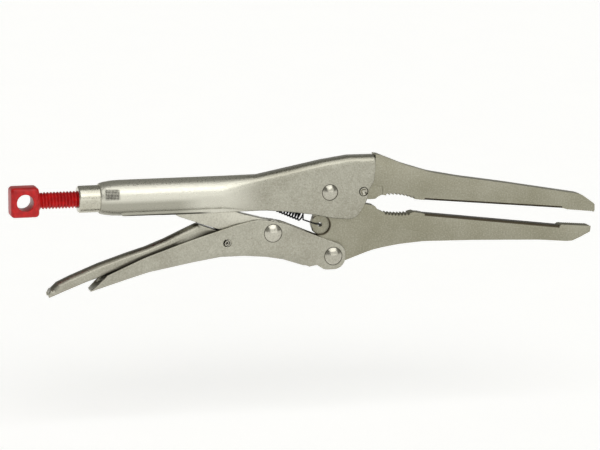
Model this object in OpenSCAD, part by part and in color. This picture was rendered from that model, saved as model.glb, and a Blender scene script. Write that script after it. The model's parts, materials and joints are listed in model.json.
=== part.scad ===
// Long-nose locking pliers: pressed steel handles, forged jaws, toggle linkage
// and a red adjusting screw. X runs along the tool with the jaws at +X, Z is up,
// Y is across the thickness. All sizes are millimetres.

/* [Fixed handle] */
// Outside diameter of the round grip
grip_dia = 20.6; // [19.6:0.1:21.0]
// Thickness of the pressed sheet of both handles
sheet = 1.8; // [1.4:0.1:1.9]
// Outside width of both folded channels
channel_width = 13; // [12.8:0.1:13.4]
// Bend radius along the top of the folded channel
bend_radius = 4.2; // [3.2:0.1:4.6]

/* [Jaws] */
// Thickness of the two long jaws
jaw_thick = 9.0; // [7.6:0.1:9.0]
// Width across the jaw of the chamfer along each inner edge
chamfer_wide = 1.2; // [0.6:0.1:2.0]
// Height of the chamfer along each inner edge
chamfer_high = 1.2; // [0.5:0.1:1.6]
// Depth of the pipe-grip teeth
tooth_depth = 0.9; // [0.5:0.1:1.2]
// Teeth in each half of the pipe grip
tooth_count = 8; // [6:1:10]

/* [Rivets and pins] */
// Shank radius of the three large rivets
shank_r = 3.1; // [2.6:0.1:3.4]
// Head diameter of the main pivot rivet
main_head_dia = 8.8; // [8.0:0.1:9.6]
// Head diameter of the two handle rivets
side_head_dia = 10.0; // [9.0:0.1:10.6]
// How far a rivet head stands out
head_rise = 1.7; // [1.2:0.1:2.0]
// Radius of the rolled pin that carries the release lever
roll_pin_r = 2.2; // [1.9:0.1:2.5]
// Radius of the pin that holds the wire-cutter insert
cutter_pin_r = 2.3; // [1.9:0.1:2.5]
// Running clearance of every pivot, on the radius
pivot_play = 0.05; // [0.02:0.01:0.09]

/* [Adjusting screw] */
// Outside diameter of the screw thread
thread_dia = 9.8; // [9.0:0.1:10.2]
// Outside diameter of the barrel nut
collar_dia = 15.6; // [14.6:0.1:16.0]
// Length of the square eye head along the tool
head_long = 16.4; // [15.5:0.1:17.5]
// Height of the square eye head
head_high = 17.2; // [16:0.1:18]
// Thickness of the square eye head
head_thick = 13; // [11:0.1:14]
// Radius of the hole through the eye head
eye_r = 4.8; // [4.0:0.1:5.2]

/* [Spring] */
// Outside diameter of the spring coil
coil_dia = 5.6; // [5.0:0.1:6.0]
// Wire diameter of the spring
wire_dia = 0.9; // [0.8:0.05:1.1]

/* [Hidden] */

round_n = 96;
channel_in = 9.4;
fixed_thick = channel_in;
link_thick = 8.4;
lever_wide = 8.8;
lever_sheet = 1.6;
lever_bend = 3.8;

// Pivots in the plane of the tool, measured from the main rivet
axis_z = 0.9;
p_jaw = [2.0, -37.5];
p_link = [-33.9, -22.5];
p_heel = [-95, axis_z];
p_lever = [-61, -27.2];
p_cutter = [20.2, -0.3];
p_hook = [-4.9, -19.3];
p_anchor = [-63, 6.6];
heel_r = 4.7;
hub_r = 7.2;
screw_tip = p_heel[0] - heel_r - 3.2;

grip_r = grip_dia / 2;
grip_end = -135;
neck_r = collar_dia / 2 + 0.9;
shaft_r = thread_dia / 2;
nut_end = -147;
head_back = -178 - head_long / 2;
jaw_tip = 162;
lowest = -55;
shift_x = -(head_back + jaw_tip) / 2;
shift_z = -lowest;

function unit(v) = v / norm(v);
function turn(a) = a > 180 ? a - 360 : (a < -180 ? a + 360 : a);
function corner(a, b, c, r) =
    let (u = unit(a - b), w = unit(c - b), half = acos(u * w) / 2,
         mid = b + unit(u + w) * r / sin(half),
         p = b + u * r / tan(half), q = b + w * r / tan(half),
         s = atan2(p[1] - mid[1], p[0] - mid[0]),
         e = turn(atan2(q[1] - mid[1], q[0] - mid[0]) - s),
         n = max(2, ceil(abs(e) / 7)))
    [for (i = [0:n]) mid + r * [cos(s + e * i / n), sin(s + e * i / n)]];
function flat2(p) = [p[0], p[1]];
function soft(pts) =
    let (n = len(pts))
    [for (i = [0:n - 1])
        let (a = flat2(pts[(i + n - 1) % n]), b = flat2(pts[i]), c = flat2(pts[(i + 1) % n]))
        for (p = (len(pts[i]) > 2 && pts[i][2] > 0) ? corner(a, b, c, pts[i][2]) : [b]) p];
// Zigzag from a to b, bowed to its left by sag, with n teeth
function zigzag(a, b, sag, n, deep) =
    let (d = b - a, side = unit([-d[1], d[0]]))
    [for (i = [0:2 * n])
        let (t = i / (2 * n))
        a + d * t + side * (4 * sag * t * (1 - t) + (i % 2 == 1 ? deep : 0))];

module slab(pts, thick)
    rotate([90, 0, 0])
        linear_extrude(height = thick, center = true)
            polygon(pts);

module across(p, r, long)
    translate([p[0], 0, p[1]])
        rotate([90, 0, 0])
            cylinder(h = long, r = r, center = true, $fn = round_n);

module along(x0, x1, r0, r1)
    translate([x0, 0, axis_z])
        rotate([0, 90, 0])
            cylinder(h = x1 - x0, r1 = r0, r2 = r1, $fn = round_n);

// Removes the square corners left outside two bends of radius r along a path
module bend_cut(a, b, half, r, up)
    translate([a[0], 0, a[1]])
        rotate([0, -atan2(b[1] - a[1], b[0] - a[0]), 0])
            rotate([90, 0, 90])
                translate([0, 0, -0.5])
                    linear_extrude(height = norm(b - a) + 1)
                        for (side = [-1, 1])
                            polygon(concat(
                                [[side * (half + 1), up], [side * (half + 1), -up * r]],
                                [for (i = [0:8]) [side * (half - r + (r + 0.004) * cos(11.25 * i)),
                                                  up * ((r + 0.004) * sin(11.25 * i) - r)]],
                                [[side * (half - r), up]]));

module bent_bar(pts, path, width, r, up)
    difference() {
        slab(pts, width);
        for (i = [0:len(path) - 2])
            bend_cut(path[i], path[i + 1], width / 2, r, up);
    }

module dome(p, side, base, dia, rise) {
    ball = (dia * dia / 4 + rise * rise) / (2 * rise);
    intersection() {
        translate([p[0], side * (base + rise - ball), p[1]])
            sphere(r = ball, $fn = round_n);
        translate([p[0], side * (base + rise / 2), p[1]])
            rotate([90, 0, 0])
                cylinder(h = rise, r = dia / 2, center = true, $fn = round_n);
    }
}

module rivet(p, half, dia, rise) {
    across(p, shank_r, 2 * half + 0.02);
    for (side = [-1, 1])
        dome(p, side, half, dia, rise);
}

// ---- fixed handle ----
top_path = [[-42, 11.1], [-3.6, 18.4], [12, 20.5], [27.4, 20.4]];
shell_front = [[-42, 11.1, 0], [-42, -9.0, 0], [-37, -9.2, 8], [-23.9, -10.6, 30], [-9.9, -12.7, 30],
               [2, -15.3, 30], [15.6, -16.6, 8], [20.8, -8.4, 10], [22.7, -4.4, 3], [23.4, 0.6, 2],
               [26.4, 5, 3], [27.4, 13, 0],
               [27.4, 20.4, 0], [12, 20.5, 0], [-3.6, 18.4, 0]];
front_room = [[-42.2, 11.1 - sheet, 0], [-42.2, -30, 0], [40, -30, 0], [40, 20.4 - sheet, 0],
              [12, 20.5 - sheet, 0], [-3.6, 18.4 - sheet, 0]];
room_path = [[-42.2, 11.1 - sheet], [-3.6, 18.4 - sheet], [12, 20.5 - sheet], [40, 20.4 - sheet]];

module grip_turned(cut)
    translate([0, 0, axis_z])
        rotate([0, 90, 0])
            rotate_extrude($fn = round_n)
                polygon([[0, grip_end - (cut > 0 ? 1 : 0)], [neck_r - cut, grip_end - (cut > 0 ? 1 : 0)],
                         [neck_r + 0.2 - cut, grip_end + 0.8], [grip_r - 0.8 - cut, grip_end + 3],
                         [grip_r - 0.2 - cut, grip_end + 7.5], [grip_r - cut, grip_end + 12],
                         [grip_r - cut, -64], [0, -64]]);

module grip_to_channel(width, top, low, r, cut)
    hull() {
        along(-64.01 - cut / 20, -63.9, grip_r - cut, grip_r - cut);
        for (side = [-1, 1]) {
            translate([-42, side * (width / 2 - r), top - r])
                rotate([0, 90, 0])
                    cylinder(h = 0.2, r = r, $fn = 32);
            translate([-42, side * (width / 2 - 0.5) - 0.5, low])
                cube([0.2, 1, 1]);
        }
    }

module handle_shell()
    color([0.78, 0.77, 0.72])
        difference() {
            union() {
                grip_turned(0);
                grip_to_channel(channel_width, 11.1, -9.0, bend_radius, 0);
                bent_bar(soft(shell_front), top_path, channel_width, bend_radius, 1);
                // straight lips along the open underside of the grip
                slab([[-122.6, -2], [-122.6, -8.6], [-121.8, -9.0], [-92, -9.3], [-76, -9.3], [-41.9, -9.0],
                      [-41.9, -2]], channel_width);
            }
            difference() {
                union() {
                    grip_turned(sheet);
                    grip_to_channel(channel_in, 11.1 - sheet, -9.0, bend_radius - sheet, sheet);
                    bent_bar(soft(front_room), room_path, channel_in, bend_radius - sheet, 1);
                }
                // lanced tongue that the spring hooks over
                translate([p_anchor[0] - 0.6, -1.2, p_anchor[1] - 1.4])
                    cube([1.4, 2.4, 8]);
            }
            // the nut's seat in the neck
            along(grip_end - 2, grip_end + 12, collar_dia / 2, collar_dia / 2);
            // open underside for the toggle link
            translate([-121, -channel_in / 2, -30])
                cube([84, channel_in, 30 - 3]);
            across([0, 0], shank_r, 30);
            across(p_cutter, cutter_pin_r, 30);
        }

module barrel_nut()
    color([0.80, 0.79, 0.74])
        difference() {
            union() {
                along(nut_end, nut_end + 0.7, collar_dia / 2 - 0.7, collar_dia / 2);
                along(nut_end + 0.7, grip_end + 12, collar_dia / 2, collar_dia / 2);
            }
            along(nut_end - 1, grip_end + 14, shaft_r + pivot_play, shaft_r + pivot_play);
        }

module cutter_pin()
    color([0.66, 0.65, 0.60])
        across(p_cutter, cutter_pin_r, channel_width - 0.6);

module pivot_rivet()
    color([0.80, 0.79, 0.74])
        rivet([0, 0], channel_width / 2, main_head_dia, head_rise);

// ---- jaws ----
clear_arc = [for (a = [138:-6:0]) 9.8 * [cos(a), sin(a)]];
upper_teeth = zigzag([51.6, -6.3], [34.0, -3.4], -1.15, tooth_count, -tooth_depth);
upper_pts = concat(
    [[27.8, 18.5], [27.8, 21.0], [30.2, 20.6]],
    soft([[31, 20.3, 0], [45, 14.4, 30], [61, 9.2, 40], [80, 5.4, 80], [105.6, 1.2, 0]]),
    [[152, -7.2], [154.6, -8.2], [jaw_tip - 0.9, -12.9], [jaw_tip, -14.0], [jaw_tip, -17.4], [jaw_tip - 0.5, -18.3]],
    zigzag([160.5, -18.1], [145.5, -16.4], 0, 12, -0.3),
    [[142.8, -15.5], [56.4, -6.95]],
    upper_teeth,
    [[32.05, -3.0], [32.05, 1.9], [25.5, 2.6], [15.6, 2.6], [15.6, 2.0], [9.8, 0]],
    [for (a = [6:6:132]) 9.8 * [cos(a), sin(a)]],
    [[-12, 8.4], [-12, 14.9], [-3.6, 16.5], [12, 18.6]]);

tang_path = [room_path[0], room_path[1], room_path[2], [27.2, 20.4 - sheet]];

// Chamfers both long edges of a jaw's inner face, from a to b
module inner_chamfer(a, b, high, up)
    translate([a[0], 0, a[1]])
        rotate([0, -atan2(b[1] - a[1], b[0] - a[0]), 0])
            rotate([90, 0, 90])
                linear_extrude(height = norm(b - a))
                    for (side = [-1, 1])
                        polygon([[side * (jaw_thick / 2 - chamfer_wide), 0],
                                 [side * (jaw_thick / 2 - chamfer_wide), -up],
                                 [side * (jaw_thick / 2 + 1), -up],
                                 [side * (jaw_thick / 2 + 1), up * high * (1 + 1 / chamfer_wide)]]);

module fixed_jaw()
    color([0.66, 0.65, 0.58])
        difference() {
            slab(upper_pts, fixed_thick);
            for (side = [-1, 1])
                translate([29, side * (fixed_thick / 2 + 4.99 - (fixed_thick - jaw_thick) / 2), 0])
                    cube([400, 10, 200], center = true);
            inner_chamfer([57.4, -7.05], [141.8, -15.4], chamfer_high, 1);
            for (i = [0:2])
                bend_cut(tang_path[i], tang_path[i + 1], fixed_thick / 2, bend_radius - sheet + 0.15, 1);
        }

module cutter_insert()
    color([0.60, 0.60, 0.56])
        difference() {
            slab([[15.6, 2.6], [25.5, 2.6], [32.05, 1.9], [32.05, -3.0], [31.1, -3.2],
                  [29.2, -4.1], [27.8, -5.2], [24.5, -5.3], [15.6, -4.9]], jaw_thick - 0.4);
            across(p_cutter, cutter_pin_r, 30);
        }

lower_teeth = zigzag([33.2, -13.5], [48.8, -14.5], -0.6, tooth_count, -tooth_depth);
lower_pts = concat(
    soft([[9.2, -1.5, 0], [13.6, -7.6, 3], [22.4, -8.2, 0], [27.4, -9.3, 1.2], [29.2, -11.6, 1], [31.6, -12.9, 0]]),
    lower_teeth,
    [[50.2, -14.1], [51.6, -13.9], [52.8, -14.4], [55.0, -14.6], [57.0, -15.1], [140.7, -25.9], [141.3, -25.3]],
    zigzag([143.0, -25.2], [158.3, -26.5], 0, 12, -0.3),
    [[159.7, -26.9], [159.3, -30.1], [153.4, -33.0], [148.6, -35.0]],
    soft([[145, -35.2, 0], [127.6, -33.6, 60], [86.8, -32.0, 120], [56.5, -31.4, 60], [41.4, -32.5, 60],
          [26.3, -34.8, 60], [8.6, -41.0, 0]]),
    [for (a = [-60:-8:-190]) p_jaw + 6.4 * [cos(a), sin(a)]],
    soft([[-5.6, -30, 0], [-5.2, -26.2, 1.5], [-8.6, -23.6, 3], [-10.1, -19.0, 4], [-8.2, -13.0, 4], [-9.3, -8, 0]]),
    [for (a = [170:-8:2]) 9.2 * [cos(a), sin(a)]]);

module lower_jaw()
    color([0.66, 0.65, 0.58])
        difference() {
            slab(lower_pts, jaw_thick);
            across([0, 0], shank_r + pivot_play, 30);
            across(p_jaw, shank_r + pivot_play, 30);
            across(p_hook, 1.3, 30);
            // spot face that thins the spring tab on both sides
            for (side = [-1, 1]) {
                translate([p_hook[0], side * (2.3 + 5), p_hook[1]])
                    rotate([90, 0, 0])
                        cylinder(h = 10, r = 5.5, center = true, $fn = round_n);
                translate([p_hook[0] - 10, side * (2.3 + 5), p_hook[1]])
                    cube([20, 10, 11], center = true);
            }
            inner_chamfer([57.6, -15.18], [140.5, -25.87], chamfer_high, -1);
        }

// ---- lower handle ----
low_path = [[-140.9, -52.57], [-119.4, -46.2], [-106.5, -42.6], [-80.1, -37.9], [-64.5, -35.6], [-50.3, -35.6],
            [-37.8, -36.7], [-27.5, -38.6], [-13, -43.5]];
low_last = len(low_path) - 1;
low_inner = concat([[-150, -55.3 + sheet]],
                   [for (i = [1:low_last - 1]) [low_path[i][0], low_path[i][1] + sheet]],
                   [[-15, -42.8 + sheet]]);
handle_pts = soft(concat(
    [[-140.6, -51.6, 0.8], [-131.4, -43.0, 1.5], [-109.8, -33.7, 60], [-87.6, -26.2, 80], [-76.5, -22.8, 60],
     [-55.2, -16.7, 30], [-42.5, -13.9, 20], [-27, -16.9, 30], [-10.2, -24.0, 20], [9.4, -31.9, 6.5],
     [9.4, -45.5, 7.2], [-3.2, -45.4, 5], [-7.6, -42.4, 1], [-10.8, -42.9, 0.4]],
    [for (i = [low_last:-1:0]) [low_path[i][0], low_path[i][1], 0]]));

module lower_handle()
    color([0.74, 0.73, 0.66])
        difference() {
            bent_bar(handle_pts, low_path, channel_width, bend_radius - 1, -1);
            bent_bar(concat(low_inner, [[-12.4, -60], [30, -60], [30, 20], [-150, 20]]),
                     low_inner, channel_in, bend_radius - 1 - sheet, -1);
            across(p_jaw, shank_r, 30);
            across(p_link, shank_r, 30);
            across(p_lever, roll_pin_r, 30);
        }

module jaw_rivet()
    color([0.80, 0.79, 0.74])
        rivet(p_jaw, channel_width / 2, side_head_dia, head_rise);

module link_rivet()
    color([0.80, 0.79, 0.74])
        rivet(p_link, channel_width / 2, side_head_dia, head_rise);

module lever_pin()
    color([0.55, 0.54, 0.50])
        difference() {
            across(p_lever, roll_pin_r, channel_width);
            across(p_lever, roll_pin_r * 0.35, channel_width + 2);
        }

module toggle_link()
    color([0.68, 0.67, 0.61])
        difference() {
            union() {
                across(p_heel, heel_r, link_thick);
                across(p_link, hub_r, link_thick);
                slab(soft([[-95, 5.4, 0], [-84, 5.0, 8], [-53, -10.4, 30], [-33.9, -15.6, 6], [-30, -29.2, 4],
                           [-40, -28.4, 10], [-64.5, -19.6, 12], [-90.4, -10.4, 12], [-98.6, -2.4, 5]]), link_thick);
            }
            across(p_link, shank_r + pivot_play, 30);
        }

// ---- release lever ----
lever_path = [[-163.3, -49.6], [-160, -46.5], [-152.7, -43.2], [-136.1, -36.7], [-119.4, -31.3], [-108.4, -28.1],
              [-97.2, -23.9], [-86.1, -18.9], [-78.2, -15.5]];
lever_pts = soft(concat(
    [for (i = [0:7]) [lever_path[i][0], lever_path[i][1], 0]],
    [[-78.2, -15.5, 2.2], [-61, -21.9, 4], [-56.2, -24.5, 4], [-56.2, -31.2, 4], [-66, -31.8, 8], [-82, -30.6, 20],
     [-100, -33.0, 20], [-142.4, -46.3, 0], [-156.4, -51.6, 0], [-165.0, lowest, 0], [-165.2, -52.8, 1]]));

module release_lever()
    color([0.72, 0.71, 0.65])
        difference() {
            bent_bar(lever_pts, lever_path, lever_wide, lever_bend, 1);
            slab(concat([[-170, -56.1], [-163.0, -51.1]],
                        [for (i = [1:7]) [lever_path[i][0] + 0.3, lever_path[i][1] - lever_sheet - 0.2]],
                        [[-78.2, -17.6], [-60, -23.9], [-56, -26], [-50, -26], [-50, -70], [-170, -70]]),
                 lever_wide - 2 * lever_sheet);
            across(p_lever, roll_pin_r + pivot_play, 30);
        }

// ---- adjusting screw ----
module soft_block(long, wide, high, r)
    intersection() {
        rotate([90, 0, 0])
            linear_extrude(height = wide, center = true)
                polygon(soft([for (c = [[-1, -1], [1, -1], [1, 1], [-1, 1]]) [c[0] * long / 2, c[1] * high / 2, r]]));
        rotate([0, 90, 0])
            linear_extrude(height = long, center = true)
                polygon(soft([for (c = [[-1, -1], [1, -1], [1, 1], [-1, 1]]) [c[0] * high / 2, c[1] * wide / 2, r * 0.5]]));
    }

module adjusting_screw()
    color([0.75, 0.08, 0.10])
        difference() {
            union() {
                translate([-178, 0, axis_z])
                    soft_block(head_long, head_thick, head_high, 2.6);
                along(-170.2, -168.6, 6.2, shaft_r);
                along(-168.8, screw_tip - 1, shaft_r, shaft_r);
                along(screw_tip - 1, screw_tip, shaft_r, shaft_r - 1);
            }
            translate([-178, 0, axis_z])
                rotate([90, 0, 0])
                    cylinder(h = 30, r = eye_r, center = true, $fn = round_n);
        }

// ---- spring ----
spring_run = p_hook - p_anchor;
spring_long = norm(spring_run);
spring_tilt = atan2(spring_run[1], spring_run[0]);
coil_from = 13;
coil_to = spring_long - 13;
hook_side = 2.3 + 0.1 + wire_dia / 2;

module tension_spring()
    color([0.10, 0.10, 0.10])
        translate([p_anchor[0], 0, p_anchor[1]])
            rotate([0, -spring_tilt, 0]) {
                difference() {
                    translate([coil_from, 0, 0])
                        rotate([0, 90, 0])
                            cylinder(h = coil_to - coil_from, r = coil_dia / 2, $fn = round_n);
                    translate([coil_from - 1, 0, 0])
                        rotate([0, 90, 0])
                            cylinder(h = coil_to - coil_from + 2, r = coil_dia / 2 - wire_dia, $fn = round_n);
                }
                translate([1.6, 0, -coil_dia / 2 + wire_dia / 2])
                    rotate([0, 90, 0])
                        cylinder(h = coil_from - 1, r = wire_dia / 2, $fn = 32);
                translate([coil_to - 0.6, -hook_side, 0])
                    rotate([0, 90, 0])
                        cylinder(h = spring_long - coil_to + 0.6, r = wire_dia / 2, $fn = 32);
                translate([spring_long, 0, 0])
                    rotate([90, 0, 0])
                        cylinder(h = 2 * hook_side, r = wire_dia / 2, center = true, $fn = 32);
            }

module placed()
    translate([shift_x, 0, shift_z])
        children();

placed() handle_shell();
placed() barrel_nut();
placed() fixed_jaw();
placed() cutter_insert();
placed() cutter_pin();
placed() pivot_rivet();
placed() lower_jaw();
placed() lower_handle();
placed() jaw_rivet();
placed() link_rivet();
placed() toggle_link();
placed() release_lever();
placed() lever_pin();
placed() adjusting_screw();
placed() tension_spring();
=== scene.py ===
# %% [markdown]
# # Long-nose locking pliers
# Two long nickel-plated jaws are squeezed shut by a toggle linkage. A red screw in
# the end of the fixed handle sets how wide they lock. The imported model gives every
# part its size, place and motion. This lesson gives the parts their rolled edges,
# their thread, their coil and their plated, lacquered and oiled finishes.

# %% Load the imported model
import json
import math

import bpy
from mathutils import Matrix, Vector


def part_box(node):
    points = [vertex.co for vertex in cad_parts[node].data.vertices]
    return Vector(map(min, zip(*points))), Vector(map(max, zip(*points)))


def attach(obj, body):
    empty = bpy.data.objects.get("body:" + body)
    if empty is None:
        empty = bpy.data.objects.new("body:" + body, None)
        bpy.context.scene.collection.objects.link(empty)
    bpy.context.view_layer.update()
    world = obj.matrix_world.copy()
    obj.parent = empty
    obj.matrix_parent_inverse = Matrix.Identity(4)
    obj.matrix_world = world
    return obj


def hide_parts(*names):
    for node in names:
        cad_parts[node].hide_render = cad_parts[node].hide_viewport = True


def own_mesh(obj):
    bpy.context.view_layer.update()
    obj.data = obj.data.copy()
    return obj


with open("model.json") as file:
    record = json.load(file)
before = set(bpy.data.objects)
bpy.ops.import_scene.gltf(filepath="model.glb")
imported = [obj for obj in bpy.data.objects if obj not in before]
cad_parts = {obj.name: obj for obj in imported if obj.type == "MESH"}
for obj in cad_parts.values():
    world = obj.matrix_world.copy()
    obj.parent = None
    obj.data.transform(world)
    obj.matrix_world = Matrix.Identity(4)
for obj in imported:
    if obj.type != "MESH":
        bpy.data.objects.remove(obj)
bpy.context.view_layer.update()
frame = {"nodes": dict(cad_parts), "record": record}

# %% [markdown]
# ## Places on the tool
# All pivots lie in the middle plane of the tool. They are measured here from the
# main rivet, in millimetres, along the tool and upwards, as on a workshop drawing.
# One helper turns such a pair into a point of the model in metres.

# %% Pivot points
MM = 0.001
rivet_low, rivet_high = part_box("pivot_rivet")
main_rivet = (rivet_low + rivet_high) / 2
SCREW_AXIS_UP = 0.9
MOVING_JAW_HOOK = (-4.9, -19.3)
SPRING_TONGUE = (-63.0, 6.6)
LEVER_PIVOT = (-61.0, -27.2)
# the turn that lays an upright bar across the tool
ACROSS = (math.pi / 2, 0, 0)


def at(along, up, across=0.0):
    """A point given from the main rivet in millimetres, as a point of the model."""
    return main_rivet + Vector((along, across, up)) * MM


print("main rivet at", [round(v, 4) for v in main_rivet])

# %% [markdown]
# ## Small helpers for modelling
# Operators act on whatever is selected, and loading the model leaves everything
# selected. So each step starts by selecting just the one piece it works on.

# %% Selection and modifier helpers
def pick(piece):
    """Makes this the only selected piece, and the active one."""
    if bpy.context.object and bpy.context.object.mode != "OBJECT":
        bpy.ops.object.mode_set(mode="OBJECT")
    bpy.ops.object.select_all(action="DESELECT")
    piece.select_set(True)
    bpy.context.view_layer.objects.active = piece
    return piece


def name_new(name):
    """Names the piece that the last operator added."""
    piece = bpy.context.object
    piece.name = name
    piece.data.name = name
    return piece


def apply_modifier(piece, kind, **settings):
    """Adds one modifier, sets it and applies it at once."""
    pick(piece)
    modifier = piece.modifiers.new(kind.title(), kind)
    for key, value in settings.items():
        setattr(modifier, key, value)
    bpy.ops.object.modifier_apply(modifier=modifier.name)


def settle(piece):
    """Puts the piece's place into its mesh, so the object sits at the origin."""
    pick(piece)
    bpy.ops.object.transform_apply(location=True, rotation=True, scale=True)


def face_outwards(piece):
    """Merges doubled corners and turns all faces outwards."""
    pick(piece)
    bpy.ops.object.mode_set(mode="EDIT")
    bpy.ops.mesh.select_all(action="SELECT")
    bpy.ops.mesh.remove_doubles(threshold=0.00001)
    bpy.ops.mesh.normals_make_consistent(inside=False)
    bpy.ops.object.mode_set(mode="OBJECT")


def cut_across(piece, name, sides, radius_mm, long_mm, along, up):
    """Cuts a piece with a bar that lies across the tool, and removes the bar."""
    bpy.ops.object.select_all(action="DESELECT")
    bpy.ops.mesh.primitive_cylinder_add(vertices=sides, radius=radius_mm * MM, depth=long_mm * MM,
                                        location=at(along, up), rotation=ACROSS)
    bar = name_new(name)
    settle(bar)
    apply_modifier(piece, "BOOLEAN", operation="DIFFERENCE", object=bar, solver="EXACT")
    bpy.data.objects.remove(bar)


def open_ring(piece):
    """Turns a ring of points into an open line, by removing its closing edge."""
    last = len(piece.data.vertices) - 1
    pick(piece)
    bpy.ops.object.mode_set(mode="EDIT")
    bpy.ops.mesh.select_all(action="DESELECT")
    bpy.ops.object.mode_set(mode="OBJECT")
    # edges are looked up after the last change of mode, because each change rebuilds them
    closing = [e for e in piece.data.edges if set(e.vertices) == {0, last}]
    closing[0].select = True
    bpy.ops.object.mode_set(mode="EDIT")
    bpy.ops.mesh.select_mode(type="EDGE")
    bpy.ops.mesh.delete(type="EDGE")
    bpy.ops.object.mode_set(mode="OBJECT")


def join_pieces(pieces, name):
    """Joins several meshes into one object."""
    pick(pieces[0])
    for other in pieces[1:]:
        other.select_set(True)
    bpy.ops.object.join()
    return name_new(name)


# %% [markdown]
# ## Taking a plate from the model
# The pressed and forged parts already have the right outline. What they lack is the
# soft edge of real metal. A copy is taken, its loose triangles are merged back into
# whole faces, and the copy is finished while the model's own part stays as it was.

# %% Copy a part of the model
def copy_of(node, name):
    """A merged copy of one part of the model."""
    source = frame["nodes"][node]
    piece = source.copy()
    piece.data = source.data.copy()
    piece.name = name
    piece.data.name = name
    piece.parent = None
    piece.matrix_world = Matrix.Identity(4)
    for key in list(piece.keys()):
        del piece[key]
    bpy.context.collection.objects.link(piece)
    pick(piece)
    bpy.ops.object.mode_set(mode="EDIT")
    bpy.ops.mesh.select_all(action="SELECT")
    bpy.ops.mesh.customdata_custom_splitnormals_clear()
    bpy.ops.mesh.remove_doubles(threshold=0.000002)
    bpy.ops.mesh.dissolve_limited(angle_limit=math.radians(0.5))
    bpy.ops.object.mode_set(mode="OBJECT")
    return piece


# %% [markdown]
# ## Forged edges
# The jaws and the link are thick forged steel, tumbled with stones before plating.
# Tumbling rounds each edge to a few tenths of a millimetre. A bevel by angle does
# the same: it finds the hard edges and leaves the curved outline alone.

# %% Break the edges of a forged plate
def tumble_edges(piece, radius_mm, sharp=32):
    """Rounds the hard edges of a thick plate."""
    apply_modifier(piece, "BEVEL", width=radius_mm * MM, segments=3, limit_method="ANGLE",
                   angle_limit=math.radians(sharp), use_clamp_overlap=True)
    pick(piece)
    bpy.ops.object.shade_smooth_by_angle(angle=math.radians(35))
    print(piece.name, "edges broken by", radius_mm, "mm,", len(piece.data.polygons), "faces")


forged = {
    "fixed_jaw": ("upper_nose_jaw", 0.35),
    "lower_jaw": ("lower_nose_jaw", 0.35),
    "toggle_link": ("toggle_plate", 0.5),
    "cutter_insert": ("wire_cutter_block", 0.3),
}
made = {}
for node, (name, radius) in forged.items():
    made[node] = copy_of(node, name)

# %% [markdown]
# ## Pipe-grip teeth
# The teeth behind the long jaws were broached after forging, so their roots are
# sharper than the forging itself. A wedge is sunk into each root, along the curve
# that the grip follows.

# %% Sharpen the tooth roots
TEETH, ROOT_SINK_MM, WEDGE_SHARE, WEDGE_LONG = 8, 0.45, 0.42, 12
# where each grip starts and stops, and how far it bows off the straight line
GRIPS = {
    "fixed_jaw": ((51.6, -6.3), (34.0, -3.4), -1.15),
    "lower_jaw": ((33.2, -13.5), (48.8, -14.5), -0.6),
}


def broach(piece, first, last, sag_mm):
    """Cuts one wedge per tooth root. The metal lies to the right of the way from first to last."""
    start, stop = Vector(first), Vector(last)
    run = stop - start
    left = Vector((-run.y, run.x)).normalized()
    wedge_r = run.length / TEETH * WEDGE_SHARE
    for i in range(TEETH):
        share = (i + 0.5) / TEETH
        place = start + run * share + left * (sag_mm * 4 * share * (1 - share) - ROOT_SINK_MM)
        cut_across(piece, "wedge", 4, wedge_r, WEDGE_LONG, place.x, place.y)
    print(piece.name, TEETH, "roots cut")


for node, (first, last, sag) in GRIPS.items():
    broach(made[node], first, last, sag)
for node, (name, radius) in forged.items():
    tumble_edges(made[node], radius)

# %% [markdown]
# ## Pressed sheet
# The two handles and the release lever are folded from sheet steel in a press. The
# folds flow into each other and every cut edge is rolled over a little. Rebuilding
# the copy as small even faces and then relaxing them gives those soft folds.

# %% Roll the folds of a pressed part
def roll_folds(piece, voxel_mm, passes, keep):
    """Rebuilds a sheet part in even faces, relaxes them, and thins them again."""
    apply_modifier(piece, "REMESH", mode="VOXEL", voxel_size=voxel_mm * MM, adaptivity=0.0)
    apply_modifier(piece, "CORRECTIVE_SMOOTH", factor=0.5, iterations=passes,
                   smooth_type="LENGTH_WEIGHTED", use_only_smooth=True)
    apply_modifier(piece, "DECIMATE", ratio=keep)
    pick(piece)
    bpy.ops.object.shade_smooth()
    print(piece.name, len(piece.data.polygons), "faces after rolling")


pressed = {
    "handle_shell": ("fixed_handle_pressing", 0.42, 8, 0.30),
    "lower_handle": ("moving_handle_pressing", 0.38, 6, 0.32),
    "release_lever": ("release_lever_pressing", 0.34, 6, 0.45),
}
for node, (name, voxel, passes, keep) in pressed.items():
    made[node] = copy_of(node, name)
    roll_folds(made[node], voxel, passes, keep)

# %% [markdown]
# ## The adjusting screw
# The screw is one piece: a square eye head, a short shoulder and a rolled thread of
# about 1.9 mm pitch. The head is a cube with rounded edges and a cylinder cut
# through it. The thread is one tooth profile carried round and along by a Screw
# modifier, which is how a thread is defined on a drawing too.

# %% Square eye head
HEAD_LONG, HEAD_THICK, HEAD_HIGH = 16.4, 13.0, 17.2
HEAD_ALONG = -178.0
bpy.ops.object.select_all(action="DESELECT")
bpy.ops.mesh.primitive_cube_add(size=1, location=at(HEAD_ALONG, SCREW_AXIS_UP),
                                scale=(HEAD_LONG * MM, HEAD_THICK * MM, HEAD_HIGH * MM))
eye_head = name_new("eye_head")
settle(eye_head)
apply_modifier(eye_head, "BEVEL", width=2.3 * MM, segments=6, limit_method="ANGLE")

# %% Drill the eye
EYE_R, DRILL_LONG = 4.8, 30
cut_across(eye_head, "eye_drill", 96, EYE_R, DRILL_LONG, HEAD_ALONG, SCREW_AXIS_UP)
apply_modifier(eye_head, "BEVEL", width=0.35 * MM, segments=3, limit_method="ANGLE",
               angle_limit=math.radians(50))
print("eye head has", len(eye_head.data.polygons), "faces")

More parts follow.
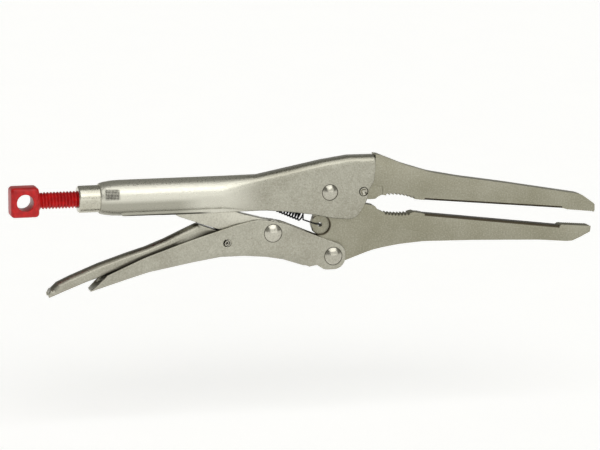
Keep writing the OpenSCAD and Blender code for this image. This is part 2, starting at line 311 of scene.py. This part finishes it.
# %% Shoulder and core
THREAD_START, THREAD_END, PITCH = -168.9, -103.4, 1.9
CREST_R, ROOT_R = 4.88, 3.95


def turned(name, stations):
    """A turned part on the screw's axis: a circle extruded and resized at each station."""
    first_along, first_r = stations[0]
    bpy.ops.object.select_all(action="DESELECT")
    bpy.ops.mesh.primitive_circle_add(vertices=64, radius=first_r * MM, fill_type="NGON",
                                      location=at(first_along, SCREW_AXIS_UP),
                                      rotation=(0, math.pi / 2, 0))
    part = name_new(name)
    settle(part)
    pick(part)
    bpy.ops.object.mode_set(mode="EDIT")
    bpy.ops.mesh.select_all(action="SELECT")
    for (a0, r0), (a1, r1) in zip(stations, stations[1:]):
        bpy.ops.mesh.extrude_region_move(TRANSFORM_OT_translate={"value": ((a1 - a0) * MM, 0, 0)})
        bpy.ops.transform.resize(value=(1, r1 / r0, r1 / r0),
                                 center_override=at(a1, SCREW_AXIS_UP))
    bpy.ops.object.mode_set(mode="OBJECT")
    face_outwards(part)
    return part


screw_core = turned("screw_core", [
    (-170.8, 6.0), (-169.9, 5.9), (-169.0, 5.0), (-168.6, 4.3), (-168.0, ROOT_R + 0.02),
    (THREAD_END + 0.2, ROOT_R + 0.02), (THREAD_END + 0.5, 3.6),
])

# %% Roll the thread
bpy.ops.object.select_all(action="DESELECT")
bpy.ops.mesh.primitive_circle_add(vertices=6, radius=MM, location=(0, 0, 0))
thread = name_new("rolled_thread")
tooth = [(0.0, ROOT_R), (0.36, CREST_R - 0.1), (0.43, CREST_R),
         (0.57, CREST_R), (0.64, CREST_R - 0.1), (1.0, ROOT_R)]
for vertex, (share, radius) in zip(thread.data.vertices, tooth):
    vertex.co = (share * PITCH * MM, 0, radius * MM)
open_ring(thread)
turns = int((THREAD_END - THREAD_START) / PITCH)
apply_modifier(thread, "SCREW", axis="X", angle=math.tau, screw_offset=PITCH * MM,
               iterations=turns, steps=40, render_steps=40, use_merge_vertices=True,
               merge_threshold=0.00001)
thread.location = at(THREAD_START, SCREW_AXIS_UP)
settle(thread)
face_outwards(thread)
print(turns, "turns of thread")

# %% One screw
red_screw = join_pieces([eye_head, screw_core, thread], "red_adjusting_screw")
pick(red_screw)
bpy.ops.object.shade_smooth_by_angle(angle=math.radians(38))
made["adjusting_screw"] = red_screw

# %% [markdown]
# ## The tension spring
# An open coil of black wire pulls the moving jaw open. Its rear loop sits on a tongue
# inside the fixed handle and its front wire hooks through the jaw. A wire is a path
# with a round section, so it is drawn as one curve and made a mesh at the end.

# %% Wind the spring
COIL_R, WIRE_R, COIL_PITCH, STEPS_PER_TURN = 2.55, 0.5, 1.75, 14
spring_back, spring_front = at(*SPRING_TONGUE), at(*MOVING_JAW_HOOK)
spring_run = spring_front - spring_back
along_spring = spring_run.normalized()
up_spring = Vector((-along_spring.z, 0, along_spring.x))
across_spring = Vector((0, 1, 0))


def on_spring(along, out_up, out_across):
    """A point of the wire, given along the spring's axis and out from it in millimetres."""
    return (spring_back + along_spring * along * MM
            + up_spring * out_up * MM + across_spring * out_across * MM)


run_mm = spring_run.length / MM
coil_start, coil_stop = 10.0, run_mm - 11.6
rear_loop = [(-1.0, -1.6, 0.0), (-2.0, 0.0, 0.0), (-1.0, 1.4, 0.0), (2.0, 1.2, 0.0),
             (coil_start - 2, 0.3, 0.0)]
front_hook = [(coil_stop + 1.5, -1.2, -0.6), (run_mm - 3.0, -0.6, -2.6),
              (run_mm - 1.0, 0.0, -3.0), (run_mm, 0.0, -2.6),
              (run_mm + 0.1, 0.0, 0.0), (run_mm + 0.1, 0.0, 2.6)]
turn_count = (coil_stop - coil_start) / COIL_PITCH
steps = int(turn_count * STEPS_PER_TURN)
coil = []
for i in range(steps + 1):
    angle = math.tau * turn_count * i / steps
    coil.append((coil_start + (coil_stop - coil_start) * i / steps,
                 COIL_R * math.cos(angle), COIL_R * math.sin(angle)))
wire = [on_spring(*place) for place in rear_loop + coil + front_hook]
path = bpy.data.curves.new("spring_wire", "CURVE")
path.dimensions = "3D"
path.bevel_depth = WIRE_R * MM
path.bevel_resolution = 3
path.use_fill_caps = True
line = path.splines.new("POLY")
line.points.add(len(wire) - 1)
for point, place in zip(line.points, wire):
    point.co = (*place, 1)
spring = bpy.data.objects.new("black_tension_spring", path)
bpy.context.collection.objects.link(spring)
pick(spring)
bpy.ops.object.convert(target="MESH")
spring = name_new("black_tension_spring")
bpy.ops.object.shade_smooth()
made["tension_spring"] = spring
print("spring of", round(turn_count, 1), "turns,", len(spring.data.polygons), "faces")

# %% [markdown]
# ## The rolled pin
# The release lever turns on a pin rolled from spring strip, so its end shows a
# spiral. The strip's centre line is drawn as a spiral and pulled across the tool,
# then given its thickness.

# %% Roll the pin
ROLL_POINTS, ROLL_FROM_DEG, ROLL_STEP_DEG = 60, -150, 10.0
ROLL_INNER_R, ROLL_GROWS, STRIP_THICK, PIN_HALF_LONG = 0.45, 1.55, 0.46, 6.7
bpy.ops.object.select_all(action="DESELECT")
bpy.ops.mesh.primitive_circle_add(vertices=ROLL_POINTS, radius=MM)
rolled_pin = name_new("rolled_lever_pin")
for i, vertex in enumerate(rolled_pin.data.vertices):
    angle = math.radians(ROLL_FROM_DEG + ROLL_STEP_DEG * i)
    reach = (ROLL_INNER_R + ROLL_GROWS * i / (ROLL_POINTS - 1)) * MM
    spoke = Vector((math.cos(angle), 0, math.sin(angle)))
    vertex.co = at(*LEVER_PIVOT, -PIN_HALF_LONG) + spoke * reach
open_ring(rolled_pin)
bpy.ops.object.mode_set(mode="EDIT")
bpy.ops.mesh.select_all(action="SELECT")
bpy.ops.mesh.extrude_region_move(
    TRANSFORM_OT_translate={"value": (0, 2 * PIN_HALF_LONG * MM, 0)})
bpy.ops.object.mode_set(mode="OBJECT")
apply_modifier(rolled_pin, "SOLIDIFY", thickness=STRIP_THICK * MM, offset=0.0)
apply_modifier(rolled_pin, "BEVEL", width=0.08 * MM, segments=2, limit_method="ANGLE",
               angle_limit=math.radians(50))
face_outwards(rolled_pin)
bpy.ops.object.shade_smooth_by_angle(angle=math.radians(35))
made["lever_pin"] = rolled_pin

# %% [markdown]
# ## The cutter's pin
# The wire-cutter block is held by a pin whose end was struck with a round punch, and
# it sits a little below the face of the handle. So its hole is opened up first, and
# the pin is a short bar with a dish pressed into each end.

# %% Open the pin's hole
CUTTER_PIN, HOLE_R = (20.2, -0.3), 2.75
cut_across(made["handle_shell"], "hole_drill", 48, HOLE_R, DRILL_LONG, *CUTTER_PIN)
print("handle has", len(made["handle_shell"].data.polygons), "faces with its hole opened")

# %% Strike the pin
PIN_R, PIN_LONG, PIN_OFF_ALONG, PIN_OFF_UP = 2.25, 11.6, 0.25, -0.15
# the rings of the dish: how far in from the last one, and how deep
DISH = ((0.35, -0.1), (0.4, 0.35), (0.5, 0.5), (0.4, 0.2))
bpy.ops.object.select_all(action="DESELECT")
bpy.ops.mesh.primitive_cylinder_add(
    vertices=48, radius=PIN_R * MM, depth=PIN_LONG * MM, rotation=ACROSS,
    location=at(CUTTER_PIN[0] + PIN_OFF_ALONG, CUTTER_PIN[1] + PIN_OFF_UP))
struck_pin = name_new("struck_cutter_pin")
settle(struck_pin)
pick(struck_pin)
ends = [p.index for p in struck_pin.data.polygons if abs(p.normal.y) > 0.9]
for end in ends:
    bpy.ops.object.mode_set(mode="EDIT")
    bpy.ops.mesh.select_all(action="DESELECT")
    bpy.ops.object.mode_set(mode="OBJECT")
    struck_pin.data.polygons[end].select = True
    inwards = -struck_pin.data.polygons[end].normal.y
    bpy.ops.object.mode_set(mode="EDIT")
    bpy.ops.mesh.select_mode(type="FACE")
    for ring_mm, sink_mm in DISH:
        bpy.ops.mesh.inset(thickness=ring_mm * MM)
        bpy.ops.transform.translate(value=(0, inwards * sink_mm * MM, 0))
bpy.ops.object.mode_set(mode="OBJECT")
bpy.ops.object.shade_smooth_by_angle(angle=math.radians(50))
made["cutter_pin"] = struck_pin
print("pin", [round(v / MM, 1) for v in struck_pin.dimensions], "mm")

# %% [markdown]
# ## Painted shade in the gaps
# For each corner point of a piece, short rays are sent outwards to see how closed in it
# is, and the share that hits metal is stored with the mesh. The finishes paint that
# share as shade, a dark colour in every gap where shade falls.

# %% Find the gaps
from mathutils.bvhtree import BVHTree

RIVETS = ("pivot_rivet", "jaw_rivet", "link_rivet", "lever_pin", "cutter_pin")
every_corner, every_face = [], []
for source in [piece for node, piece in frame["nodes"].items() if node not in RIVETS]:
    start = len(every_corner)
    every_corner += [tuple(v.co) for v in source.data.vertices]
    every_face += [tuple(start + i for i in p.vertices) for p in source.data.polygons]
metal = BVHTree.FromPolygons(every_corner, every_face)
GOLDEN = math.pi * (3 - math.sqrt(5))
RAY_COUNT = 14
RAYS = []
for i in range(RAY_COUNT):
    upright = 1 - (i + 0.5) / RAY_COUNT * 0.9
    sideways = math.sqrt(1 - upright * upright)
    RAYS.append(Vector((math.cos(GOLDEN * i) * sideways, math.sin(GOLDEN * i) * sideways,
                        upright)))
FACES_UP, FACES_DOWN = 0.5, -0.55
# the fold between the round grip and its lips, which stays free of painted shade
FOLD_TOP, FOLD_BACK, FOLD_FRONT = -5.5, -122, -44


def paint_gap_shade(piece, crown_shade=0.0, belly_shade=0.0, gain=1.0, reach_mm=2.2, lift_mm=0.5):
    """Stores painted shade for each corner point: how closed in it is, at least crown_shade if it
    faces up, belly_shade if down.
    """
    closed = []
    for vertex in piece.data.vertices:
        out = vertex.normal
        turn = Vector((0, 0, 1)).rotation_difference(out)
        start = vertex.co + out * lift_mm * MM
        hits = sum(1 for ray in RAYS
                   if metal.ray_cast(start, turn @ ray, reach_mm * MM)[0] is not None)
        least = crown_shade if out.z > FACES_UP else belly_shade if out.z < FACES_DOWN else 0.0
        closed.append(max(min(1.0, gain * hits / len(RAYS)), least))
    if piece is made["handle_shell"]:
        top, back, front = at(0, FOLD_TOP).z, at(FOLD_BACK, 0).x, at(FOLD_FRONT, 0).x
        closed = [0.0 if v.co.z < top and back < v.co.x < front else share
                  for v, share in zip(piece.data.vertices, closed)]
    layer = piece.data.attributes.new("painted_shade", "FLOAT", "POINT")
    layer.data.foreach_set("value", closed)
    print(piece.name, "mean closed in", round(sum(closed) / len(closed), 3))


# painted shade: the grip's downward faces take at least half of the dark colour
paint_gap_shade(made["handle_shell"], belly_shade=0.5)
paint_gap_shade(made["lower_handle"])
# painted reflection: the release lever's upward faces are darkened as if they showed a dim room,
# and its gaps take a stronger, wider painted shade
paint_gap_shade(made["release_lever"], crown_shade=0.38, gain=2.2, reach_mm=3.4)

# %% [markdown]
# ## The relieved inner edges
# Between the toothed grip and the tip the inner faces of both jaws are ground back.
# Those faces are marked as fully closed in, so they take the full painted shade, a dark
# colour standing for the shade of the recess. The upper jaw also has a painted shadow
# line along the near edge of its top, a little less dark.

# %% Paint shade on the ground faces
RELIEF_FROM, RELIEF_TO = 57.3, 140.9
BROW_FROM, BROW_TO, BROW_SHADE = 29, 100, 0.75


def paint_relief_shade(piece, facing):
    """Marks painted shade on the faces along a jaw's inner edge; facing is 1 for up and -1 for
    down.
    """
    layer = piece.data.attributes.new("painted_shade", "FLOAT", "FACE")
    count = 0
    for face in piece.data.polygons:
        along = (face.center.x - main_rivet.x) / MM
        ground = (face.normal.z * facing > 0.22 and abs(face.normal.x) < 0.6
                  and RELIEF_FROM < along < RELIEF_TO)
        brow = (facing < 0 and face.normal.z > 0.3 and face.normal.y < -0.2
                and BROW_FROM < along < BROW_TO)
        layer.data[face.index].value = 1.0 if ground else BROW_SHADE if brow else 0.0
        count += ground
    print(piece.name, count, "ground faces")


# painted shade on the ground faces of both jaws, and a painted shadow line on the upper jaw's brow
paint_relief_shade(made["fixed_jaw"], -1)
paint_relief_shade(made["lower_jaw"], 1)

# %% [markdown]
# ## Colours and nodes
# Colours are written as a painter's hex code and turned to linear light once, here.
# Every finish is built from noise at real sizes, so its grain is in millimetres.

# %% Colour and node helpers
def colour(code):
    """A hex colour as linear light."""
    parts = [int(code[i:i + 2], 16) / 255 for i in (1, 3, 5)]
    light = [c / 12.92 if c <= 0.04045 else ((c + 0.055) / 1.055) ** 2.4 for c in parts]
    return (*light, 1.0)


# the painted shadow ring round a rivet head or tab: where it is full, where it is gone, and how
# dark
RIM_FULL_MM, RIM_GONE_MM, RING_SHADOW_DARKNESS = 0.15, 0.5, 0.8


class Finish:
    """A material with a shader, and a short way to add and wire its nodes."""

    def __init__(self, name):
        self.material = bpy.data.materials.new(name)
        self.material.use_nodes = True
        self.tree = self.material.node_tree
        self.shader = self.tree.nodes["Principled BSDF"]
        self.place = self.node("ShaderNodeTexCoord").outputs["Object"]

    def node(self, kind, links=None, **settings):
        made_node = self.tree.nodes.new(kind)
        for key, value in settings.items():
            if key in made_node.inputs:
                made_node.inputs[key].default_value = value
            else:
                setattr(made_node, key, value)
        for socket, source in (links or {}).items():
            self.tree.links.new(source, made_node.inputs[socket])
        return made_node

    def grain(self, size_mm, detail=3.0, roughness=0.55):
        return self.node("ShaderNodeTexNoise", {"Vector": self.place},
                         Scale=1.0 / (size_mm * MM), Detail=detail,
                         Roughness=roughness).outputs["Fac"]

    def spread(self, value, low, high, out_low, out_high):
        node = self.node("ShaderNodeMapRange", {"Value": value})
        for key, number in (("From Min", low), ("From Max", high),
                            ("To Min", out_low), ("To Max", out_high)):
            node.inputs[key].default_value = number
        return node.outputs["Result"]

    def blend(self, factor, first, second):
        node = self.node("ShaderNodeMix", data_type="RGBA")
        self.tree.links.new(factor, node.inputs[0])
        for index, value in ((6, first), (7, second)):
            if isinstance(value, tuple):
                node.inputs[index].default_value = value
            else:
                self.tree.links.new(value, node.inputs[index])
        return node.outputs[2]

    def combine(self, operation, first, second):
        return self.node("ShaderNodeMath", {0: first, 1: second}, operation=operation).outputs[0]

    def bump(self, height, depth_mm, after=None):
        links = {"Height": height}
        if after is not None:
            links["Normal"] = after
        node = self.node("ShaderNodeBump", links, Strength=1.0)
        node.inputs["Distance"].default_value = depth_mm * MM
        return node.outputs["Normal"]

    def rim(self, along, up, reach_mm):
        """A thin ring of painted shadow round a pivot: full within 0.15 mm of its radius, gone at
        0.5 mm.
        """
        flat = self.node("ShaderNodeVectorMath", {0: self.place}, operation="MULTIPLY")
        flat.inputs[1].default_value = (1.0, 0.0, 1.0)
        far = self.node("ShaderNodeVectorMath", {0: flat.outputs[0]}, operation="DISTANCE")
        centre = at(along, up)
        far.inputs[1].default_value = (centre.x, 0.0, centre.z)
        off = self.node("ShaderNodeMath", {0: far.outputs["Value"]}, operation="SUBTRACT")
        off.inputs[1].default_value = reach_mm * MM
        off = self.node("ShaderNodeMath", {0: off.outputs[0]}, operation="ABSOLUTE").outputs[0]
        return self.spread(off, RIM_FULL_MM * MM, RIM_GONE_MM * MM, RING_SHADOW_DARKNESS, 0.0)

    def wire(self, socket, source):
        self.tree.links.new(source, self.shader.inputs[socket])


# %% [markdown]
# ## Nickel plate
# Nickel is warmer than chrome. The jaws were tumbled with coarse stones, so they are
# matte with a fine crater grain. The pressed handles were tumbled finer and keep a
# satin shine with soft, wide highlights. One recipe with other numbers gives both.

# %% Nickel finishes
CLOUD_MM, RIPPLE_MM, RIPPLE_DEEP_MM = 26.0, 5.0, 0.10
# the dark colour painted as shade in gaps and as shadow rings; sparkle and speck are grain
PAINTED_SHADE_COLOUR, SPARKLE, SPECK = "#2b2820", "#e6e4d8", "#6e6b5d"


def nickel(name, light, dark, smooth, rough, grain_mm, crater_mm, shade_colour=PAINTED_SHADE_COLOUR, rims=()):
    """Tumbled nickel plate: cloudy tone, fine grain, and painted shade in gaps and round rivets.
    """
    finish = Finish(name)
    cloud = finish.grain(CLOUD_MM, 3.0)
    fine = finish.grain(grain_mm, 3.0, 0.6)
    tone = finish.blend(finish.spread(cloud, 0.35, 0.65, 0.0, 1.0), colour(dark), colour(light))
    sparkle = finish.blend(finish.spread(fine, 0.50, 0.72, 0.0, 0.20), tone, colour(SPARKLE))
    speck = finish.blend(finish.spread(fine, 0.30, 0.52, 0.26, 0.0), sparkle, colour(SPECK))
    gaps = finish.node("ShaderNodeAttribute", attribute_name="painted_shade").outputs["Fac"]
    for along, up, reach_mm in rims:
        gaps = finish.combine("MAXIMUM", gaps, finish.rim(along, up, reach_mm))
    # painted shade: the shade colour goes into the gaps and the shadow rings
    finish.tone = finish.blend(finish.spread(gaps, 0.12, 0.75, 0.0, 0.92), speck, colour(shade_colour))
    finish.wire("Base Color", finish.tone)
    finish.wire("Roughness", finish.spread(fine, 0.3, 0.7, smooth, rough))
    finish.ripple = finish.bump(finish.grain(RIPPLE_MM, 2.0), RIPPLE_DEEP_MM)
    finish.relief = finish.bump(fine, crater_mm, finish.ripple)
    finish.wire("Normal", finish.relief)
    finish.shader.inputs["Metallic"].default_value = 1.0
    return finish


# a rim is the place of a rivet or tab, along and up, and the radius of its painted shadow ring
satin = nickel("satin_nickel_tumbled_sheet", "#b0aea0", "#9f9c8e", 0.26, 0.42, 0.85, 0.10,
               rims=((2.0, -37.5, 5.08), (-33.9, -22.5, 5.08)))
# the forgings' painted shade is a lighter brown, on the jaws' ground faces and round the spring
# tab
matte = nickel("matte_nickel_tumbled_forging", "#9f9c8b", "#928f7c", 0.38, 0.54, 0.9, 0.12,
               shade_colour="#4a4234", rims=((*MOVING_JAW_HOOK, 5.7),))
bright = nickel("bright_nickel_turned_collar", "#d2d0c2", "#bcb9a9", 0.20, 0.34, 0.9, 0.03)
plate = nickel("satin_nickel_toggle_plate", "#cdcbbd", "#bebbad", 0.28, 0.44, 1.1, 0.08)
head_steel = nickel("nickel_rivet_polished_head", "#c2bfb2", "#a5a295", 0.14, 0.26, 0.9,
                    0.015)

# %% [markdown]
# ## The grip's own finish
# The round grip is polished by hands and belts, and it is painted brighter than the flat
# sides ahead of it, partly for that polish and partly as a painted sheen. Near the nut the
# tool that held the tube left a small cross-hatched patch. The round part has painted
# shade below, and its lips end in a painted shadow line. All of these are masks by place,
# added to the nickel recipe, so they show under any light.

# %% Grip finish
grip_nickel = nickel("satin_nickel_grip_painted_sheen_and_shade", "#acaa9c", "#9b988a", 0.24, 0.40, 0.85, 0.11,
                     rims=((0.0, 0.0, 4.48),))
axes = grip_nickel.node("ShaderNodeSeparateXYZ", {"Vector": grip_nickel.place})


def window(finish, value, low, high, edge):
    """1 between two lengths in metres, fading out over an edge at both."""
    rise = finish.spread(value, low - edge, low + edge, 0.0, 1.0)
    fall = finish.spread(value, high - edge, high + edge, 1.0, 0.0)
    return finish.combine("MULTIPLY", rise, fall)


# painted sheen: behind the flats the round grip takes a lighter tone, partly for its polish and
# partly as painted sheen
ahead = grip_nickel.spread(axes.outputs["X"], at(-62, 0).x, at(-38, 0).x, 0.0, 1.0)
# painted shade: the grip's lower part behind the flats is darker
belly_up = grip_nickel.spread(axes.outputs["Z"], at(0, -1.4).z, at(0, 0.6).z, 1.0, 0.0)
belly_back = grip_nickel.spread(axes.outputs["X"], at(-90, 0).x, at(-76, 0).x, 1.0, 0.0)
belly_shade = grip_nickel.combine("MULTIPLY", belly_up, belly_back)
lit_top_shaded_belly = grip_nickel.blend(belly_shade, colour("#d0cec1"), colour("#a8a699"))
# from here on the grip's colour carries painted sheen and painted shade as well as polish
polished = grip_nickel.blend(ahead, lit_top_shaded_belly, grip_nickel.tone)
# painted shadow: a dark line along the grip's lower lips
lip_up = grip_nickel.spread(axes.outputs["Z"], at(0, -8.6).z, at(0, -8.0).z, 0.92, 0.0)
lip_along = window(grip_nickel, axes.outputs["X"], at(-121, 0).x, at(-73, 0).x, 0.004)
lip_shadow_line = grip_nickel.combine("MULTIPLY", lip_up, lip_along)
polished = grip_nickel.blend(lip_shadow_line, polished, colour(PAINTED_SHADE_COLOUR))
patch_along = window(grip_nickel, axes.outputs["X"], at(-132.4, 0).x, at(-124.6, 0).x, 0.0006)
patch_up = window(grip_nickel, axes.outputs["Z"], at(0, 1.4).z, at(0, 6.9).z, 0.0005)
patch_near = grip_nickel.spread(axes.outputs["Y"], -0.006, -0.004, 1.0, 0.0)
patch = grip_nickel.combine("MULTIPLY", patch_along, patch_up)
patch = grip_nickel.combine("MULTIPLY", patch, patch_near)

# %% Cross-hatched patch
HATCH_MM = 1.15
turned_place = grip_nickel.node("ShaderNodeMapping", {"Vector": grip_nickel.place})
turned_place.inputs["Rotation"].default_value = (0, math.radians(45), 0)
turned_axes = grip_nickel.node("ShaderNodeSeparateXYZ", {"Vector": turned_place.outputs["Vector"]})
waves = []
for axis in ("X", "Z"):
    scaled = grip_nickel.node("ShaderNodeMath", {0: turned_axes.outputs[axis]},
                              operation="MULTIPLY")
    scaled.inputs[1].default_value = math.tau / (HATCH_MM * MM)
    wave = grip_nickel.node("ShaderNodeMath", {0: scaled.outputs[0]}, operation="SINE")
    waves.append(wave.outputs[0])
hatch = grip_nickel.combine("MULTIPLY", waves[0], waves[1])
pits = grip_nickel.spread(hatch, -0.15, 0.35, 0.0, 0.9)
pits = grip_nickel.combine("MULTIPLY", pits, patch)
worn = grip_nickel.combine("MULTIPLY", patch, grip_nickel.grain(1.6))
scuffed = grip_nickel.blend(worn, polished, colour("#77746a"))
grip_nickel.wire("Base Color", grip_nickel.blend(pits, scuffed, colour("#26241e")))
grip_nickel.wire("Normal", grip_nickel.bump(pits, -0.25, grip_nickel.relief))

# %% [markdown]
# ## Red lacquer and black wire
# The screw is dipped in red lacquer that pools in the thread. The spring is drawn
# wire, blackened and oiled.

# %% Lacquer and spring finishes
lacquer = Finish("red_lacquer_dipped_steel")
drift = lacquer.grain(3.0, 3.0)
pooled = lacquer.spread(drift, 0.35, 0.65, 0.0, 1.0)
lacquer.wire("Base Color", lacquer.blend(pooled, colour("#a00a0c"), colour("#c41414")))
lacquer.wire("Roughness", lacquer.spread(lacquer.grain(0.6), 0.3, 0.7, 0.30, 0.46))
lacquer.wire("Normal", lacquer.bump(lacquer.grain(0.7, 3.0), 0.03, lacquer.bump(drift, 0.04)))
lacquer.shader.inputs["Specular IOR Level"].default_value = 0.32
lacquer.shader.inputs["Coat Weight"].default_value = 0.08
lacquer.shader.inputs["Coat Roughness"].default_value = 0.2

black_wire = Finish("oiled_black_spring_wire")
streak = black_wire.grain(0.5, 3.0)
black_wire.wire("Base Color", black_wire.blend(streak, colour("#070707"), colour("#1d1c1a")))
black_wire.wire("Roughness", black_wire.spread(streak, 0.3, 0.7, 0.28, 0.5))
black_wire.shader.inputs["Metallic"].default_value = 0.5

# %% [markdown]
# ## Dress every piece
# New pieces take the place of their part of the model and ride on the same body, so
# they move with the joints. Parts kept from the model only get a better finish.

# %% Bodies, slots and finishes
BODY_OF = {
    "handle_shell": "fixed_handle", "fixed_jaw": "fixed_handle",
    "cutter_insert": "fixed_handle", "cutter_pin": "fixed_handle",
    "lower_jaw": "moving_jaw", "lower_handle": "moving_handle", "lever_pin": "moving_handle",
    "toggle_link": "toggle", "release_lever": "release", "adjusting_screw": "screw",
}
slots = {entry["node"]: entry["material_slot"] for entry in frame["record"]["subparts"]}
finish_of = {"satin_nickel": satin, "jaw_nickel": matte, "rivet_steel": head_steel,
             "red_lacquer": lacquer, "spring_black": black_wire}
special = {"handle_shell": grip_nickel, "barrel_nut": bright, "toggle_link": plate}
for node, piece in made.items():
    piece.data.materials.clear()
    piece.data.materials.append(special.get(node, finish_of[slots[node]]).material)
    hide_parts(node)
    if node != "tension_spring":
        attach(piece, BODY_OF[node])
for node in ("barrel_nut", "pivot_rivet", "jaw_rivet", "link_rivet"):
    for material_slot in frame["nodes"][node].material_slots:
        material_slot.material = special.get(node, finish_of[slots[node]]).material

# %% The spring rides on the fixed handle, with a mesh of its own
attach(spring, "fixed_handle")
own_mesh(spring)

# %% [markdown]
# ## Studio
# The tool is shown held in the air, 75 mm over a plain pale floor. With the handles
# fully open the tip of the release lever goes a little over a centimetre below the
# floor. The floor is faintly lit from below, under a broad soft light overhead and a
# weaker one in front. Metal shows what surrounds it, so the room is a dim even grey:
# the lights draw one clean highlight along the upper side of the grip, and the flanks
# stay mid grey.

# %% Floor and lights
FLOOR_DOWN = -0.075
bpy.ops.object.select_all(action="DESELECT")
bpy.ops.mesh.primitive_plane_add(size=60, location=(0, 0, FLOOR_DOWN))
floor = name_new("studio_floor")
paper = Finish("white_paper_floor")
paper.wire("Base Color", paper.blend(paper.grain(60.0), colour("#f6f6f5"), colour("#fafaf9")))
paper.shader.inputs["Roughness"].default_value = 0.95
paper.shader.inputs["Specular IOR Level"].default_value = 0.1
paper.shader.inputs["Emission Color"].default_value = (1.0, 1.0, 1.0, 1.0)
paper.shader.inputs["Emission Strength"].default_value = 0.40
floor.data.materials.append(paper.material)


def heading(side_deg, rise_deg):
    """The way from the tool to a compass angle, 0 in front of it, and up, in degrees."""
    turn, rise = math.radians(side_deg), math.radians(rise_deg)
    return Vector((math.sin(turn) * math.cos(rise), -math.cos(turn) * math.cos(rise),
                   math.sin(rise)))


def soft_sun(name, side_deg, rise_deg, spread_deg, strength):
    """A distant soft light."""
    toward = heading(side_deg, rise_deg)
    bpy.ops.object.light_add(type="SUN", location=toward * 3)
    sun = bpy.context.object
    sun.name = name
    sun.data.energy = strength
    sun.data.angle = math.radians(spread_deg)
    sun.rotation_euler = toward.to_track_quat("Z", "Y").to_euler()


soft_sun("overhead_soft_light", 10, 58, 60, 1.0)
soft_sun("front_soft_light", 16, 24, 64, 0.66)
world = bpy.data.worlds.new("studio_room")
bpy.context.scene.world = world
world.use_nodes = True
room = world.node_tree
sky = room.nodes["Background"]
compass = room.nodes.new("ShaderNodeTexCoord")
height = room.nodes.new("ShaderNodeSeparateXYZ")
shade = room.nodes.new("ShaderNodeValToRGB")
room.links.new(compass.outputs["Generated"], height.inputs["Vector"])
room.links.new(height.outputs["Z"], shade.inputs["Fac"])
room.links.new(shade.outputs["Color"], sky.inputs["Color"])
shade.color_ramp.elements[0].position = 0.03
shade.color_ramp.elements[0].color = colour("#f4f4f2")
shade.color_ramp.elements[1].position = 0.22
shade.color_ramp.elements[1].color = colour("#8c8c88")
sky.inputs["Strength"].default_value = 1.0

# %% [markdown]
# ## Camera
# A long lens from two metres, a little to the left of the tool and a little above.

# %% Place the camera
CAMERA_FAR = 2.0
bpy.ops.object.camera_add()
camera = bpy.context.object
camera.data.lens = 206.9
camera.data.sensor_width = 36
camera.data.clip_end = 60
aim = at(-16.3, -19.49)
back = heading(-14, 10)
camera.location = aim + back * CAMERA_FAR
camera.rotation_euler = (-back).to_track_quat("-Z", "Y").to_euler()
bpy.context.scene.camera = camera
bpy.context.scene.view_settings.view_transform = "Standard"
